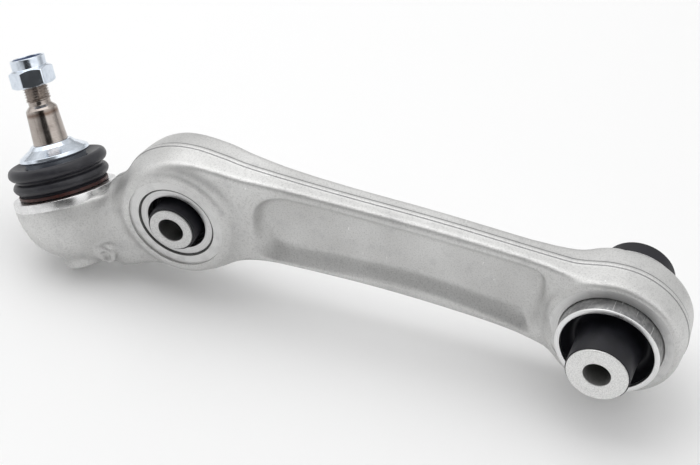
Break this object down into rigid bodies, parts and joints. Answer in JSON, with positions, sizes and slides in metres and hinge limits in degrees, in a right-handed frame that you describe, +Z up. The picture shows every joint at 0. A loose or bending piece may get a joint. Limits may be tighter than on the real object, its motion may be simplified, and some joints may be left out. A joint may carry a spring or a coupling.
{
  "type": "control arm",
  "caption": "Forged suspension control arm with a booted ball joint at the wheel end, a damper fork bush beside it and a large rubber bush at the subframe end.",
  "frame": {"origin": "middle of the inner (subframe) bush, on its axis", "axes": "+X along the arm away from the ball joint, Y along both bush axes, +Z up, towards the side where the stud leaves the ball joint"},
  "size_m": [0.394, 0.085, 0.1154],
  "materials": {
    "forged_aluminium": "shot-blasted forging, matte with a fine grain, machined faces brighter",
    "stud_steel": "ground steel with a brown-grey tint",
    "race_plastic": "moulded acetal",
    "ring_steel": "plain spring steel",
    "boot_rubber": "satin moulded rubber",
    "brown_ring_steel": "brown-red coated ring",
    "zinc_plate": "bright blue-white zinc plate",
    "nylon": "moulded nylon",
    "bush_shell_steel": "drawn steel shell with a bright turned rim",
    "bush_rubber": "matte black rubber",
    "tube_aluminium": "sawn and deburred end faces",
    "tube_steel": "turned end faces"
  },
  "bodies": {
    "arm": {"arm_forging": "forged_aluminium", "ball_race": "race_plastic", "race_retaining_ring": "ring_steel", "boot_lower_clamp_ring": "brown_ring_steel", "inner_bush_outer_sleeve": "bush_shell_steel", "inner_bush_rubber": "bush_rubber", "damper_bush_outer_sleeve": "bush_shell_steel", "damper_bush_rubber": "bush_rubber"},
    "boot": {"dust_boot": "boot_rubber"},
    "boot_top": {"boot_upper_clamp_ring": "ring_steel"},
    "stud": {"ball_stud": "stud_steel", "dust_collar": "zinc_plate", "stud_nut": "zinc_plate", "nut_locking_insert": "nylon"},
    "inner_sleeve": {"inner_bush_inner_sleeve": "tube_aluminium"},
    "damper_sleeve": {"damper_bush_inner_sleeve": "tube_steel"}
  },
  "joints": [
    {"name": "stud_swing_along_arm", "type": "hinge", "parent": "arm", "child": "boot", "pos_m": [-0.3148, -0.0086, -0.0116], "axis": [0.1257, 0.9478, -0.2932], "range_deg": [-18, 18], "deforming": ["dust_boot"]},
    {"name": "stud_swing_across_arm", "type": "hinge", "parent": "boot", "child": "boot_top", "pos_m": [-0.3148, -0.0086, -0.0116], "axis": [0.9191, 0, 0.3939], "range_deg": [-18, 18], "deforming": ["dust_boot"]},
    {"name": "stud_spin", "type": "hinge", "parent": "boot_top", "child": "stud", "pos_m": [-0.3148, -0.0086, -0.0116], "axis": [-0.3734, 0.319, 0.8711], "continuous": true},
    {"name": "inner_sleeve_twist", "type": "hinge", "parent": "arm", "child": "inner_sleeve", "pos_m": [0, 0, 0], "axis": [0, 1, 0], "range_deg": [-20, 20], "stiffness_Nm_per_rad": 60, "deforming": ["inner_bush_rubber"]},
    {"name": "damper_sleeve_twist", "type": "hinge", "parent": "arm", "child": "damper_sleeve", "pos_m": [-0.2424, 0, 0.0076], "axis": [0, 1, 0], "range_deg": [-20, 20], "stiffness_Nm_per_rad": 40, "deforming": ["damper_bush_rubber"]}
  ]
}
